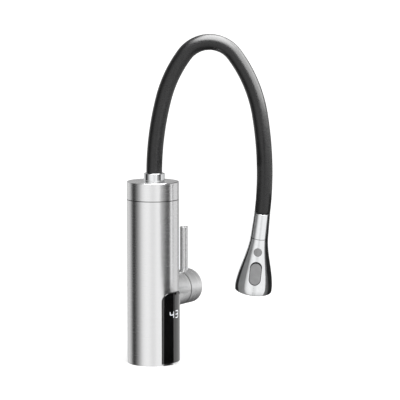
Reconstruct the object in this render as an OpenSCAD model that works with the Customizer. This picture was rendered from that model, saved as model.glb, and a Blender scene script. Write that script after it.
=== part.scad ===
// Electric heating kitchen faucet: a steel column with an instant heater inside, a side valve with an
// upright lever, and a self-supporting gooseneck hose that ends in a two-button spray head.
// The origin is the middle of the column's foot on the counter. +Z is up, the display looks along -Y
// and the valve stands out along +X. All sizes are in millimetres.

/* [Column] */
// Outside diameter of the steel column
column_d = 60; // [56:1:74]
// Wall of the steel shell and of the top cap
shell_wall = 1.2; // [1:0.1:1.5]
// Height of the lower shell, from the counter to the seam
shell_h = 190; // [186:1:230]
// Height of the dark seam between shell and cap
seam_gap = 0.6; // [0.4:0.1:1]
// Height of the top cap
cap_h = 20.4; // [16:0.2:28]
// Thickness of the cap's flat top
cap_top = 2.5; // [2:0.5:4]
// Rounding of the outer edges
edge_r = 0.8; // [0.4:0.1:1.2]

/* [Foot] */
// Thickness of the base plate
base_h = 8; // [7:0.5:12]
// Radius of the inlet thread, half-inch pipe at its minor diameter
inlet_r = 9.3; // [9.3:0.1:10]
// Depth of the inlet thread
inlet_l = 13; // [11:0.5:16]
// Radius of the hole that the mains cord passes through
cord_hole_r = 3.5; // [3:0.1:4]

/* [Display] */
// Width of the display lens, measured straight across
panel_w = 34.8; // [28:0.2:42]
// Height of the lens's top edge
panel_top = 84.5; // [80:0.5:100]
// Height of the lens's bottom edge
panel_bottom = 2; // [1:0.5:6]
// Rounding of the lens's top corners
panel_corner_r = 10; // [4:0.5:13]
// How far the lens stands out of the column
panel_proud = 1.1; // [0.4:0.1:2]

/* [Valve] */
// Height of the valve's axis
valve_z = 80.5; // [78:0.5:96]
// Diameter of the valve housing and of the lever hub
valve_d = 40.6; // [39:0.2:49]
// Distance from the column's axis to the seam between housing and hub
valve_seam = 49.5; // [47:0.5:60]
// Length of the turning hub
hub_l = 23.3; // [20:0.1:28]
// Diameter of the lever rod
lever_d = 10; // [8:0.5:12]
// Height of the lever rod's top
lever_top = 151.5; // [130:0.5:180]

/* [Hose] */
// Outside diameter of the silicone hose
hose_d = 18.3; // [17:0.1:22]
// Wall of the silicone sleeve
sleeve_wall = 1.6; // [1.2:0.1:1.8]
// Distance that the outlet sits ahead of the column's axis
outlet_ahead = 2; // [0:0.5:4]
// Direction of the spout, turned from +X
spout_turn = -56; // [-180:1:180]
// Height of the chrome collar above the cap
collar_h = 9.6; // [8:0.2:14]
// Wall of the collar round the hose
collar_wall = 2.95; // [2.6:0.05:4]

/* [Spray head] */
// Length of the head along its axis
head_l = 96; // [90:1:116]
// Length of the neck above the turning bell
neck_l = 30.2; // [28:0.2:36]
// Radius of the bell at its rim
bell_rim_r = 21.7; // [20:0.1:26]
// Wall of the bell
bell_wall = 2; // [1.6:0.1:2.4]
// Diameter of the round button
pause_d = 9.1; // [7:0.1:10]
// Length of the oval rocker
rocker_l = 26.5; // [22:0.5:30]
// Width of the oval rocker
rocker_w = 12.7; // [10:0.1:14]
// Turn of the head about its axis, which sets where the buttons look
head_roll = -88; // [-180:1:180]

/* [Hidden] */
$fn = 64;

// Small gaps: between pieces that are pushed together, between moving faces, and in running fits.
// A cut runs on by over, and two lengths of one piece share weld.
fit = 0.1;
play = 0.3;
run = 0.05;
over = 1;
weld = 0.02;

// Column and the stack of pieces inside it
column_r = column_d / 2;
in_r = column_r - shell_wall;
cap_z = shell_h + seam_gap;
top_z = cap_z + cap_h;

// Foot
socket_r = inlet_r + 3.7;
socket_flange = 2;
gasket_w = 2.7;
gasket_t = 2;
gasket_r = in_r - 0.9;
screw_r = 1.5;
screw_head_r = 2.7;
screw_ring = in_r - 7.4;
screw_angles = [30, 150, 270];
screw_boss_r = 3.4;
foot_ring_h = 5;
grommet_y = (socket_r + gasket_r - gasket_w) / 2;
grommet_wall = 1;
grommet_rim = 0.5;
socket_flange_r = grommet_y - cord_hole_r - grommet_wall - grommet_rim - fit;
socket_top = base_h + 12;

// Water path below the valve
sensor_r = 10;
sensor_l = 30;
sensor_wall = 2;
float_r = 6.2;
float_travel = 8;
float_l = sensor_l - 2 * sensor_wall - float_travel - play;
water_r = 4;
pipe_r = 6;
sensor_top = socket_top + sensor_l;

// Valve
valve_r = valve_d / 2;
valve_body_r = valve_r - 3.3;
port_r = 8;
port_bottom = valve_z - valve_body_r - 3;
port_top = valve_z + valve_body_r + 2;
valve_back = -8;
valve_front = valve_seam - 3.5;
cartridge_r = 12.5;
cartridge_x = 20;
cartridge_l = 21;
disc_r = 8.8;
disc_t = 3.5;
disc_x = cartridge_x + 0.5;
stack_x = disc_x + 2 * disc_t;
spindle_r = 5;
spindle_flange_r = 8;
spindle_flange_t = 3;
nut_l = valve_front - cartridge_x - cartridge_l;
hub_gap = 0.5;
hub_x = valve_seam + hub_gap / 2;
hub_end = valve_seam + hub_l;
hub_cavity = 8;
hub_boss_r = 8.5;
spindle_end = hub_x + 12;
lever_x = valve_seam + 13.8;
lever_seat = valve_z + 11;
grub_r = 2;

// Heater tank
cradle_t = 4;
tank_z = port_top + 4.5;
tank_r = in_r - 6;
tank_wall = 2.5;
flange_r = in_r - 0.8;
flange_t = 7;
lid_t = 6;
lid_z = shell_h - 9 - lid_t;
tank_screw_ring = (tank_r + flange_r) / 2 + 0.1;
element_r = 3.2;
element_ring = tank_r - tank_wall - element_r - 1.6;
element_reach = element_ring * sin(45);
element_low = tank_z + tank_wall + 3 + element_r + element_reach;
element_high = lid_z - 4 - element_r - element_reach;
boss_r = 11;

// Boards
spine_t = 2.2;
spine_y = valve_body_r + 1;
board_t = 1.6;
board_y = valve_body_r + 2;
board_room = in_r - fit - spine_t - play;
board_w = min(28, 2 * sqrt(max(0, pow(board_room, 2) - pow(board_y + board_t, 2))));
post_x = board_w / 2 - 4;
post_r = 2;
peg_r = 1.1;
board_z0 = base_h + 10;
shelf_z = tank_z - cradle_t;
board_z1 = shelf_z - 3;
post_heights = [board_z0 + 6, board_z1 - 6];
panel_r = column_r + panel_proud;
post_reach = sqrt(pow(in_r - spine_t / 2, 2) - pow(post_x, 2));
frame_front = in_r - 4.4;
frame_t = 2.7;
frame_w = 2 * sqrt(pow(in_r - fit, 2) - pow(frame_front, 2)) - fit;
frame_z0 = base_h + foot_ring_h + fit;
frame_z1 = panel_top + 8;
led_z = 58.2;
led_w = 19;
led_h = 14;
display_y = -(frame_front - frame_t);

// Outlet and collar
outlet_y = -outlet_ahead;
hose_r = hose_d / 2;
collar_r = hose_r + collar_wall;
collar_z = top_z + 0.05;
collar_top = top_z + collar_h;
lip = 4.3;
nipple_r = hose_r + 0.35;
nipple_top = collar_top - lip - fit;
nipple_z = lid_z + lid_t;
swivel_r = hose_r - 1.75;
swivel_z = nipple_top - 24;
clip_z = nipple_top - 9;
clip_t = 1.2;
seal_r = 0.9;
seal_heights = [swivel_z + 4, swivel_z + 9];

// Hose route as a bending table, after a straight riser: radius, bend and direction of each stretch
hose_z = collar_top - lip;
riser = 3.2;
BENDS = [
    [350, 14.4, 0],
    [144, 22.2, 0],
    [35.5, 106.5, 0],
    [158, 27.3, 0],
    [353, 18.8, 33.75],
];
station_turn = 6;
station_gap = 12;
sleeve_sides = 24;
core_sides = 16;
sleeve_in = hose_r - sleeve_wall;
core_out = sleeve_in - fit;
core_in = core_out - 1.8;
liner_out = core_in - fit;
liner_in = liner_out - 1.5;
barb_r = liner_in - play;
barb_bore = barb_r - 1.1;
barb_l = 9;
end_barb_l = 6;

// Spray head, in its own frame: z runs down the head from the hose's end, x looks out of the buttons
neck_top_r = hose_r + 0.2;
neck_end_r = neck_top_r + 1.1;
head_gap = 0.4;
bell_z = neck_l + head_gap;
flare_end = head_l - 6;
rim_r = 2;
flare_steps = 14;
plug_r = neck_top_r - 2.2;
plug_l = neck_l - 7;
core_z = bell_z + 5;
core_end = head_l - 7;
pause_z = 45;
pause_stem_r = 1.5;
pause_lip = 0.7;
pause_lip_t = 0.8;
pause_cap = 3.3;
pause_seat = 7.5;
spring_r = 3;
spring_wire = 0.5;
spring_turns = 3;
spring_steps = 20;
spring_sides = 8;
button_proud = 0.3;
rocker_z = 69.3;
rocker_gap = 0.6;
rocker_t = 2.5;
rocker_tilt = 4;
pocket_depth = 4.2;
pin_depth = 5.6;
pin_r = 1;
block_w = rocker_w - 4;
block_l = 6;
pin_l = block_w + 5.5;
arm_l = 8;
arm_t = 2.4;
arm_w = 2;
spool_r = 3;
spool_z = rocker_z - rocker_l / 2 + 2;
plate_t = 2;
plate_z = head_l - 3.5;
mat_t = 1;
nozzle_r = 1.1;
nozzle_bore = 0.45;
aerator_r = 7;
NOZZLE_RINGS = [[10.2, 14], [13.6, 20], [17, 26]];

// A frame on the hose is [place, x, y, z]: z runs along it, and x and y never twist about z
function turned(v, axis, a) =
    v * cos(a) + cross(axis, v) * sin(a) + axis * (axis * v) * (1 - cos(a));
function bent(f, r, a, toward) =
    let (side = cos(toward) * f[1] + sin(toward) * f[2], axis = cross(f[3], side), start = f[0])
    concat([start + r * ((1 - cos(a)) * side + sin(a) * f[3])], [for (k = [1:3]) turned(f[k], axis, a)]);
function stations(bend) = ceil(max(bend[1] / station_turn, bend[0] * bend[1] * PI / 180 / station_gap));
function stretch(f, bend) = let (n = stations(bend))
    [for (k = [1:n]) bent(f, bend[0], bend[1] * k / n, bend[2])];
function route(f, i = 0) = i == len(BENDS) ? [] : let (part = stretch(f, BENDS[i]))
    concat(part, route(part[len(part) - 1], i + 1));
HOSE_START = [[0, 0, 0], [1, 0, 0], [0, 1, 0], [0, 0, 1]];
RISER_END = [[0, 0, riser], [1, 0, 0], [0, 1, 0], [0, 0, 1]];
HOSE = concat([HOSE_START, RISER_END], route(RISER_END));
HOSE_END = HOSE[len(HOSE) - 1];

function smooth(u) = u * u * (3 - 2 * u);
function flare(u) = 0.7 * smooth(u) + 0.3 * u;
function bell_at(z) = neck_end_r + (bell_rim_r - neck_end_r)
    * flare(min(1, max(0, (z - neck_l) / (flare_end - neck_l))));
function bell_slope(z) = atan((bell_at(z + 0.5) - bell_at(z - 0.5)));
function flare_line(z0, z1, inset) = [
    for (i = [0:flare_steps]) let (z = z0 + (z1 - z0) * i / flare_steps) [bell_at(z) - inset, z]
];
rocker_lean = bell_slope(rocker_z);
pin_x = bell_at(rocker_z) - pin_depth * cos(rocker_lean);
pin_z = rocker_z + pin_depth * sin(rocker_lean);

// Plain helpers

module along_x() rotate([0, 90, 0]) children();

module tube(r_out, r_in, h) difference() {
    cylinder(r = r_out, h = h);
    translate([0, 0, -over]) cylinder(r = r_in, h = h + 2 * over);
}

// A disc whose upper edge is rounded
module soft_disc(r, h, e) rotate_extrude() {
    square([r - e, h]);
    square([r, h - e]);
    translate([r - e, h - e]) intersection() {
        circle(e);
        square(e);
    }
}

module ring_of(r, angles) for (a = angles) rotate([0, 0, a]) translate([r, 0, 0]) children();

// The outline of the display lens seen from the front, grown by g on every side
module panel_outline(g) {
    w = panel_w + 2 * g;
    r = panel_corner_r + g;
    z0 = panel_bottom - g;
    z1 = panel_top + g;
    translate([-w / 2, z0]) square([w, z1 - z0 - r]);
    translate([-w / 2 + r, z0]) square([w - 2 * r, z1 - z0]);
    for (s = [-1, 1]) translate([s * (w / 2 - r), z1 - r]) circle(r);
}

module panel_prism(g) rotate([90, 0, 0]) linear_extrude(column_d) panel_outline(g);

module at_outlet() translate([0, outlet_y, 0]) children();

module at_valve(x = 0) translate([x, 0, valve_z]) along_x() children();

// Foot

module base_plate() color("dimgray") difference() {
    cylinder(r = in_r - fit, h = base_h);
    translate([0, 0, -over]) cylinder(r = socket_r + run, h = base_h + 2 * over);
    translate([0, 0, -over]) difference() {
        cylinder(r = gasket_r + run, h = gasket_t + over);
        translate([0, 0, -over]) cylinder(r = gasket_r - gasket_w - run, h = gasket_t + 3 * over);
    }
    translate([0, grommet_y, -over]) cylinder(r = cord_hole_r + grommet_wall + run, h = base_h + 2 * over);
    ring_of(screw_ring, screw_angles) {
        translate([0, 0, -over]) cylinder(r = screw_r + fit, h = base_h + 2 * over);
        translate([0, 0, -over]) cylinder(r = screw_head_r + fit, h = 3 + over);
    }
}

module base_gasket() color("black") tube(gasket_r, gasket_r - gasket_w, gasket_t);

module base_screws() color("silver") ring_of(screw_ring, screw_angles) {
    translate([0, 0, 3]) cylinder(r = screw_r, h = base_h + 3);
    difference() {
        translate([0, 0, 0.8]) cylinder(r = screw_head_r, h = 2.2);
        translate([0, 0, -over]) cylinder(r = 1.2, h = 2.8, $fn = 6);
    }
}

module inlet_socket() color("goldenrod") difference() {
    union() {
        cylinder(r = socket_r, h = base_h);
        translate([0, 0, base_h]) cylinder(r = socket_flange_r, h = socket_flange);
        translate([0, 0, base_h]) cylinder(r = inlet_r + 1.7, h = socket_top - base_h);
    }
    translate([0, 0, -over]) cylinder(r = inlet_r, h = inlet_l + over);
    translate([0, 0, -over]) cylinder(r = water_r, h = socket_top + 2 * over);
}

module cord_grommet() color("black") translate([0, grommet_y, 0]) difference() {
    union() {
        cylinder(r = cord_hole_r + grommet_wall, h = base_h);
        translate([0, 0, base_h]) cylinder(r = cord_hole_r + grommet_wall + grommet_rim, h = 1.5);
    }
    translate([0, 0, -over]) cylinder(r = cord_hole_r, h = base_h + 4 * over);
}

// The four posts behind the control board. Each ends in a peg that holds the board
module at_posts(y) for (x = [-post_x, post_x], z = post_heights)
    translate([x, board_y + y, z]) rotate([-90, 0, 0]) children();

// The plastic frame that carries the boards and the tank: a foot ring, a curved back wall and a shelf
module chassis() color("gainsboro") difference() {
    union() {
        difference() {
            translate([0, 0, base_h]) cylinder(r = in_r - fit, h = tank_z - base_h);
            translate([0, 0, base_h - over]) cylinder(r = in_r - fit - spine_t, h = shelf_z - base_h + over);
            translate([0, 0, shelf_z - over]) cylinder(r = port_r + 2, h = cradle_t + 2 * over);
            translate([-column_d, spine_y - 2 * column_d, base_h + foot_ring_h])
                cube([2 * column_d, 2 * column_d, shelf_z - base_h - foot_ring_h]);
        }
        at_posts(board_t) cylinder(r = post_r, h = post_reach - board_y - board_t);
        at_posts(-0.8) cylinder(r = peg_r, h = post_reach - board_y);
        ring_of(screw_ring, screw_angles) translate([0, 0, base_h]) cylinder(r = screw_boss_r, h = 7);
        ring_of(in_r - 3, screw_angles) translate([-1.6, -1.5, base_h]) cube([3.2, 3, foot_ring_h - 1]);
    }
    ring_of(screw_ring, screw_angles) translate([0, 0, base_h - over]) cylinder(r = screw_r + run, h = 10);
}

module outer_shell() color("silver") difference() {
    cylinder(r = column_r, h = shell_h);
    translate([0, 0, -over]) cylinder(r = in_r, h = shell_h + 2 * over);
    at_valve() cylinder(r = valve_body_r + play, h = column_d);
    panel_prism(0.15);
}

// Water path and flow switch

module flow_sensor_body() color("ivory") translate([0, 0, socket_top]) difference() {
    cylinder(r = sensor_r, h = sensor_l);
    translate([0, 0, sensor_wall]) cylinder(r = float_r + play, h = sensor_l - 2 * sensor_wall);
    translate([0, 0, -over]) cylinder(r = water_r, h = sensor_l + 2 * over);
}

module flow_float() color("darkslategray") translate([0, 0, socket_top + sensor_wall]) difference() {
    cylinder(r = float_r, h = float_l);
    translate([0, 0, -over]) cylinder(r = 1.5, h = float_l + 2 * over);
    for (a = [0:90:270]) rotate([0, 0, a]) translate([float_r, 0, -over])
        cylinder(r = 1.5, h = float_l + 2 * over);
}

module reed_switch() color("green") translate([sensor_r + fit, -5, socket_top + 8]) cube([3.5, 10, 16]);

module riser_pipe() color("goldenrod")
    translate([0, 0, sensor_top]) tube(pipe_r, water_r, port_bottom - sensor_top);

module crossover_pipe() color("goldenrod")
    translate([0, 0, port_top]) tube(pipe_r, water_r, tank_z - port_top);

// Valve

module valve_body() color("goldenrod") difference() {
    union() {
        at_valve(valve_back) cylinder(r = valve_body_r, h = valve_front - valve_back);
        translate([0, 0, port_bottom]) cylinder(r = port_r, h = port_top - port_bottom);
    }
    at_valve(cartridge_x - 2.5) cylinder(r = disc_r - 1, h = 5);
    at_valve(cartridge_x) cylinder(r = cartridge_r + run, h = column_d);
    translate([0, 0, port_bottom - over]) cylinder(r = water_r, h = valve_z - port_bottom - 2);
    translate([0, 0, valve_z + 3]) cylinder(r = water_r, h = port_top - valve_z);
    translate([0, 0, valve_z - 6]) along_x() cylinder(r = 3, h = cartridge_x);
    translate([0, 0, valve_z + 6]) along_x() cylinder(r = 3, h = cartridge_x);
}

module cartridge_seal() color("black") at_valve(cartridge_x - 1.2)
    rotate_extrude() translate([disc_r - 2.4, 0]) circle(1.2);

module disc(holes) difference() {
    cylinder(r = disc_r, h = disc_t);
    for (y = holes) translate([y, 0, -over]) cylinder(r = 2, h = disc_t + 2 * over);
}

module fixed_disc() color("white") at_valve(disc_x) disc([-5, 5]);

module moving_disc() color("whitesmoke") at_valve(disc_x + disc_t) disc([-5]);

module cartridge_body() color("lightgray") difference() {
    at_valve(cartridge_x) cylinder(r = cartridge_r, h = cartridge_l);
    at_valve(cartridge_x - over)
        cylinder(r = disc_r + fit, h = over + stack_x - cartridge_x + spindle_flange_t + fit);
    at_valve(cartridge_x) cylinder(r = spindle_r + run, h = cartridge_l + over);
}

module cartridge_nut() color("goldenrod") at_valve(cartridge_x + cartridge_l) difference() {
    cylinder(r = cartridge_r, h = nut_l);
    translate([0, 0, -over]) cylinder(r = spindle_r + 1, h = nut_l + 2 * over);
    ring_of(cartridge_r - 3, [0:60:300]) translate([0, 0, nut_l - 2]) cylinder(r = 1.2, h = 2 + over);
}

module spindle() color("goldenrod") {
    at_valve(stack_x) cylinder(r = spindle_flange_r, h = spindle_flange_t);
    at_valve(stack_x) cylinder(r = spindle_r, h = spindle_end - stack_x);
}

module valve_housing() color("silver") difference() {
    at_valve() soft_disc(valve_r, valve_seam - hub_gap / 2, edge_r / 2);
    at_valve(-over) cylinder(r = valve_body_r + fit, h = valve_front + over + fit);
    at_valve(-over) cylinder(r = cartridge_r, h = column_d + valve_seam);
    cylinder(r = column_r + fit, h = top_z);
}

module lever_hub() color("silver") difference() {
    union() {
        difference() {
            at_valve(hub_x) soft_disc(valve_r, hub_end - hub_x, edge_r * 1.5);
            at_valve(hub_x - over) cylinder(r = valve_body_r, h = hub_cavity + over);
        }
        at_valve(hub_x + 2) cylinder(r = hub_boss_r, h = hub_cavity);
    }
    at_valve(hub_x) cylinder(r = spindle_r + 0.02, h = spindle_end - hub_x);
    translate([lever_x, 0, lever_seat]) cylinder(r = lever_d / 2 + 0.02, h = valve_d);
    translate([hub_x + 5, 0, valve_z - valve_d]) cylinder(r = grub_r + 0.02, h = valve_d);
}

module lever_rod() color("silver")
    translate([lever_x, 0, lever_seat]) soft_disc(lever_d / 2, lever_top - lever_seat, edge_r);

module grub_screw() color("dimgray") translate([hub_x + 5, 0, valve_z - hub_boss_r - 1]) difference() {
    cylinder(r = grub_r, h = hub_boss_r + 1 - spindle_r - run);
    translate([0, 0, -over]) cylinder(r = 1.1, h = 2 + over, $fn = 6);
}

// Heater

module tank_shell() color("lightslategray") difference() {
    union() {
        translate([0, 0, tank_z]) cylinder(r = tank_r, h = lid_z - tank_z);
        translate([0, 0, lid_z - flange_t]) cylinder(r = flange_r, h = flange_t);
    }
    translate([0, 0, tank_z + tank_wall]) cylinder(r = tank_r - tank_wall, h = lid_z);
    translate([0, 0, tank_z - over]) cylinder(r = water_r, h = tank_wall + 2 * over);
    translate([0, 0, lid_z - 1.5]) cylinder(r = tank_r - 0.6, h = over + 1.5);
    ring_of(tank_screw_ring, [45:90:315]) translate([0, 0, lid_z - flange_t - over])
        cylinder(r = screw_r + run, h = flange_t + 2 * over);
}

module tank_seal() color("black")
    translate([0, 0, lid_z - 1.5]) tube(tank_r - 0.7, tank_r - tank_wall + 0.1, 1.5);

// Four legs joined by half-round bends: two below, one above, and two ends through the lid
module heating_element() color("slategray") {
    for (x = [-1, 1], y = [-1, 1]) translate([x * element_reach, y * element_reach, element_low])
        cylinder(r = element_r, h = (y > 0 ? lid_z + lid_t + 5 : element_high + weld) - element_low);
    for (x = [-1, 1]) translate([x * element_reach, 0, element_low]) element_bend(90);
    translate([0, -element_reach, element_high]) rotate([180, 0, 0]) element_bend(0);
}

module element_bend(turn) rotate([0, 0, turn]) rotate([-90, 0, 0]) rotate_extrude(angle = 180)
    translate([element_reach, 0]) circle(element_r);

module tank_lid() color("lightslategray") difference() {
    translate([0, 0, lid_z]) cylinder(r = flange_r, h = lid_t);
    at_outlet() translate([0, 0, lid_z - over]) cylinder(r = swivel_r - 2, h = lid_t + 2 * over);
    for (x = [-1, 1]) translate([x * element_reach, element_reach, lid_z - over])
        cylinder(r = element_r + run, h = lid_t + 2 * over);
    translate([0, element_ring, lid_z - over]) cylinder(r = 2 + run, h = lid_t + 2 * over);
    ring_of(tank_screw_ring, [45:90:315]) translate([0, 0, lid_z - over])
        cylinder(r = screw_r + run, h = lid_t + 2 * over);
}

module tank_screws() color("silver") ring_of(tank_screw_ring, [45:90:315]) {
    translate([0, 0, lid_z - flange_t]) cylinder(r = screw_r, h = lid_t + flange_t);
    translate([0, 0, lid_z + lid_t]) difference() {
        cylinder(r = 2.4, h = 2);
        translate([0, 0, 1]) cylinder(r = 1.2, h = 2, $fn = 6);
    }
}

module temperature_probe() color("goldenrod") translate([0, element_ring, 0]) {
    translate([0, 0, lid_z - 14]) cylinder(r = 2, h = lid_t + 14);
    translate([0, 0, lid_z + lid_t]) cylinder(r = 3.5, h = 3, $fn = 6);
    translate([0, 0, lid_z + lid_t + 3]) cylinder(r = 2, h = 3);
}

module thermal_cutout() color("peru") translate([-(boss_r + 6.9), 0, lid_z + lid_t]) {
    cylinder(r = 6.4, h = 3);
    translate([0, 0, 3]) cylinder(r = 5, h = 3);
    for (y = [-3, 3]) translate([-0.4, y - 1.5, 6]) cube([0.8, 3, 5]);
}

// Electronics

module control_board() color("darkgreen") difference() {
    translate([-board_w / 2, board_y, board_z0]) cube([board_w, board_t, board_z1 - board_z0]);
    at_posts(-over) cylinder(r = peg_r + run, h = board_t + 2 * over);
}

module power_relay() color("royalblue")
    translate([-8, sensor_r + 1, sensor_top - 14]) cube([16, board_y - sensor_r - 1, 18]);

module terminal_block() color("green")
    translate([0, 0, board_z0 + 3]) difference() {
        translate([-9, socket_r - 1, 0]) cube([18, board_y - socket_r + 1, 10]);
        for (x = [-6, 0, 6]) translate([x, socket_r + 1.5, -over]) cylinder(r = 1.6, h = 10 + 2 * over);
    }

module display_frame() color("dimgray") difference() {
    translate([-frame_w / 2, -frame_front, frame_z0]) cube([frame_w, frame_t, frame_z1 - frame_z0]);
    translate([-led_w / 2 - fit, -column_r, led_z - led_h / 2 - fit])
        cube([led_w + 2 * fit, column_r, led_h + 2 * fit]);
    translate([0, 0, frame_z0 - over]) ring_of(screw_ring, [270]) cylinder(r = screw_boss_r + fit, h = 8);
}

module display_board() color("darkgreen")
    translate([-13, display_y, base_h + 10]) cube([26, board_t, panel_top - base_h - 12]);

module led_display() color("black")
    translate([-led_w / 2, -(in_r - 2), led_z - led_h / 2]) cube([led_w, in_r - 2 + display_y, led_h]);

module display_panel() color("black") intersection() {
    translate([0, 0, panel_bottom - over]) tube(panel_r, in_r, panel_top + over);
    panel_prism(0);
}

// Cap, seam and outlet

module joining_ring() color("dimgray")
    translate([0, 0, shell_h - 5]) tube(in_r - fit, in_r - 2.2, 16);

module seam_seal() color("black") translate([0, 0, shell_h]) tube(column_r - edge_r, in_r, seam_gap);

module top_cap() color("silver") difference() {
    translate([0, 0, cap_z]) soft_disc(column_r, cap_h, edge_r);
    translate([0, 0, cap_z - over]) cylinder(r = in_r, h = cap_h - cap_top + over);
    at_outlet() translate([0, 0, cap_z]) cylinder(r = nipple_r + fit, h = cap_h + over);
}

module outlet_nipple() color("goldenrod") at_outlet() difference() {
    union() {
        translate([0, 0, nipple_z]) cylinder(r = boss_r, h = 3);
        translate([0, 0, nipple_z]) cylinder(r = nipple_r, h = nipple_top - nipple_z);
    }
    translate([0, 0, nipple_z - over]) cylinder(r = swivel_r - 2, h = nipple_top);
    translate([0, 0, swivel_z - fit]) cylinder(r = swivel_r + run, h = nipple_top);
    translate([0, 0, clip_z]) cylinder(r = swivel_r + 0.9, h = clip_t);
}

// Open ring that sits in the nipple's groove and keeps the fitting in
module swivel_clip() color("dimgray") at_outlet() translate([0, 0, clip_z]) difference() {
    tube(swivel_r + 0.9, swivel_r - 0.8, clip_t);
    translate([0, -1.5, -over]) cube([swivel_r + 2, 3, clip_t + 2 * over]);
}

module collar_nut() color("white") at_outlet() difference() {
    translate([0, 0, collar_z]) soft_disc(collar_r, collar_top - collar_z, edge_r);
    translate([0, 0, collar_z - over]) cylinder(r = hose_r + fit, h = collar_h + 2 * over);
    translate([0, 0, collar_z - over]) cylinder(r = nipple_r + 0.02, h = nipple_top - collar_z + over);
}

// Spout

module spout_fitting() color("goldenrod") at_outlet() difference() {
    union() {
        translate([0, 0, swivel_z]) cylinder(r = swivel_r, h = hose_z - swivel_z);
        translate([0, 0, hose_z]) cylinder(r = barb_r, h = barb_l);
    }
    translate([0, 0, swivel_z - over]) cylinder(r = barb_bore, h = nipple_top);
    for (z = seal_heights) translate([0, 0, z - seal_r - run])
        tube(swivel_r + over, swivel_r - 2 * seal_r, 2 * (seal_r + run));
    translate([0, 0, clip_z - fit]) tube(swivel_r + over, swivel_r - 0.9, clip_t + 2 * fit);
}

module swivel_seals() color("black") at_outlet() for (z = seal_heights) translate([0, 0, z])
    rotate_extrude() translate([swivel_r - seal_r, 0]) circle(seal_r);

function ring(f, r, sides) = [
    for (k = [0:sides - 1]) f[0] + r * (cos(360 * k / sides) * f[1] + sin(360 * k / sides) * f[2])
];

// Two triangles for each side, between two rings of points that begin at a and b
function band(a, b, sides) = [
    for (k = [0:sides - 1], half = [0, 1]) let (n = (k + 1) % sides)
        half == 0 ? [a + k, b + k, b + n] : [a + k, b + n, a + n]
];

// One hollow tube along the hose's route, whose sides are never inside r_in or outside r_out
module hose_tube(r_out, r_in, sides) {
    n = len(HOSE);
    inside = n * sides;
    last = (n - 1) * sides;
    points = concat(
        [for (f = HOSE) each ring(f, r_out, sides)],
        [for (f = HOSE) each ring(f, r_in / cos(180 / sides), sides)]
    );
    faces = concat(
        [for (i = [0:n - 2]) each band(i * sides, (i + 1) * sides, sides)],
        [for (i = [0:n - 2]) each band(inside + (i + 1) * sides, inside + i * sides, sides)],
        band(inside, 0, sides),
        band(last, inside + last, sides)
    );
    at_hose() polyhedron(points, faces);
}

module at_hose() at_outlet() translate([0, 0, hose_z]) rotate([0, 0, spout_turn]) children();

// The spray head's frame, which carries on from the hose's end
module at_head() at_hose()
    multmatrix([for (row = [0:2]) [HOSE_END[1][row], HOSE_END[2][row], HOSE_END[3][row], HOSE_END[0][row]]])
        rotate([0, 0, head_roll]) children();

module hose_sleeve() color("darkslategray") hose_tube(hose_r, sleeve_in, sleeve_sides);

module hose_core() color("lightsteelblue") hose_tube(core_out, core_in, core_sides);

module hose_liner() color("white") hose_tube(liner_out, liner_in, core_sides);

// Spray head

module hose_end_fitting() color("goldenrod") at_head() difference() {
    union() {
        translate([0, 0, -end_barb_l]) cylinder(r = barb_r, h = end_barb_l + 1);
        cylinder(r = plug_r, h = plug_l);
    }
    translate([0, 0, -end_barb_l - over]) cylinder(r = barb_bore, h = end_barb_l + plug_l + 2 * over);
}

module head_neck() color("white") at_head() difference() {
    rotate_extrude() polygon([
        [0, 0], [neck_top_r - 0.4, 0], [neck_top_r, 0.4], [neck_end_r, neck_l], [0, neck_l]
    ]);
    translate([0, 0, -over]) cylinder(r = plug_r + run, h = neck_l + 2 * over);
}

module bell_solid(inset, z0, z1) rotate_extrude() polygon(concat(
    [[0, z0]], flare_line(z0, min(z1, flare_end), inset), [[bell_rim_r - inset, z1], [0, z1]]
));

module rim_cut() translate([0, 0, head_l - rim_r]) difference() {
    cylinder(r = bell_rim_r + over, h = rim_r + over);
    translate([0, 0, -over]) cylinder(r = bell_rim_r - rim_r, h = rim_r + 3 * over);
    rotate_extrude() translate([bell_rim_r - rim_r, 0]) circle(rim_r);
}

// Puts x along the bell's outward normal, with the origin on the bell's surface
module on_bell(z) translate([bell_at(z), 0, z]) rotate([0, bell_slope(z), 0]) children();

module stadium(l, w) {
    square([l - w, w], center = true);
    for (s = [-1, 1]) translate([s * (l - w) / 2, 0]) circle(w / 2);
}

module stadium_bar(l, w, depth, out)
    translate([-depth, 0, 0]) along_x() linear_extrude(depth + out) stadium(l, w);

module pause_hole(r, deep)
    on_bell(pause_z) translate([-deep, 0, 0]) along_x() cylinder(r = r, h = deep + 2 * over);

module head_shell() color("white") at_head() difference() {
    bell_solid(0, bell_z, head_l);
    bell_solid(bell_wall, core_z - 4, head_l + over);
    translate([0, 0, bell_z - over]) cylinder(r = plug_r - 1, h = head_l);
    rim_cut();
    pause_hole(pause_d / 2 + play, bell_wall * 2);
    on_bell(rocker_z)
        stadium_bar(rocker_l + 2 * rocker_gap, rocker_w + 2 * rocker_gap, 2 * bell_wall, bell_wall);
}

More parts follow.
